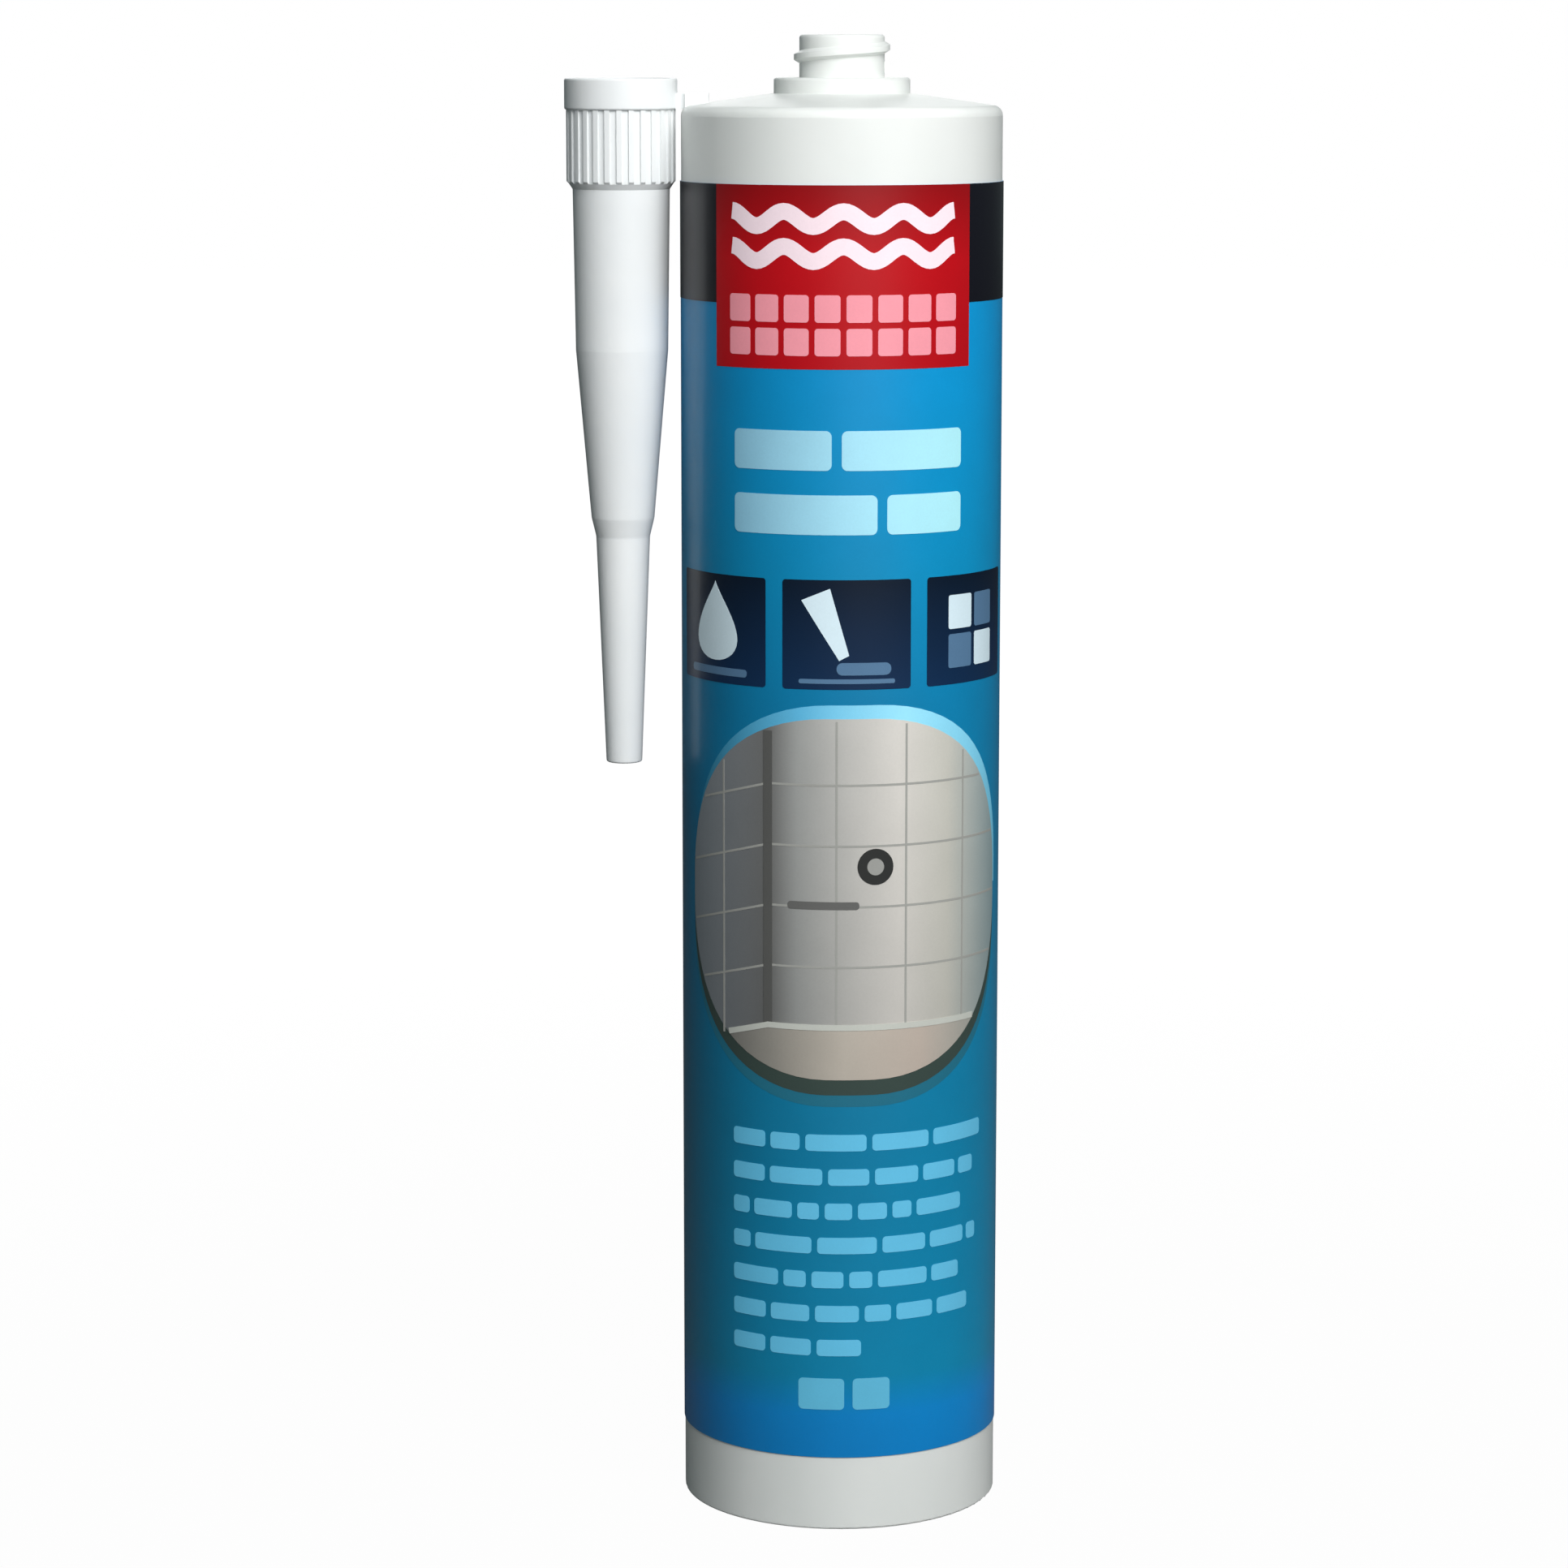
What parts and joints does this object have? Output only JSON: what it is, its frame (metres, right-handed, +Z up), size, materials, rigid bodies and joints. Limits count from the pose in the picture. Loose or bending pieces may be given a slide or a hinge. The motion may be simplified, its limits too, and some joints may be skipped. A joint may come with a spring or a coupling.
{
  "type": "caulk tube",
  "caption": "Upright sealant cartridge with a sliding piston, a wrap label in plain fields of colour and a spare screw-on nozzle hung beside it.",
  "frame": {"origin": "on the barrel's axis, in the plane of the open base that the tube stands on", "axes": "+Z up along the barrel to the neck, -Y out of the front of the label, -X towards the spare nozzle"},
  "size_m": [0.0678, 0.0502, 0.2303],
  "materials": {
    "barrel_plastic": "blown-smooth white polyethylene, satin gloss",
    "piston_plastic": "moulded natural polyethylene",
    "sealant": "white paste",
    "nozzle_plastic": "moulded white polyethylene",
    "label_film_blue": "glossy printed film",
    "ink_dark": "glossy print",
    "ink_red": "glossy print",
    "ink_pale_blue": "glossy print",
    "ink_navy": "glossy print",
    "ink_warm_grey": "glossy print",
    "ink_light_blue": "glossy print"
  },
  "bodies": {
    "cartridge": {"cartridge_barrel": "barrel_plastic", "sealant_fill": "sealant", "nozzle": "nozzle_plastic", "wrap_label": "label_film_blue", "print_top_band": "ink_dark", "print_red_panel": "ink_red", "print_title_bars": "ink_pale_blue", "print_icon_fields": "ink_navy", "print_picture_field": "ink_warm_grey", "print_text_bars": "ink_light_blue", "print_volume_bar": "ink_light_blue"},
    "piston": {"piston": "piston_plastic"}
  },
  "joints": [
    {"name": "piston_slide", "type": "slide", "parent": "cartridge", "child": "piston", "axis": [0, 0, 1], "range_m": [0, 0.1795], "deforming": ["sealant_fill"]}
  ]
}
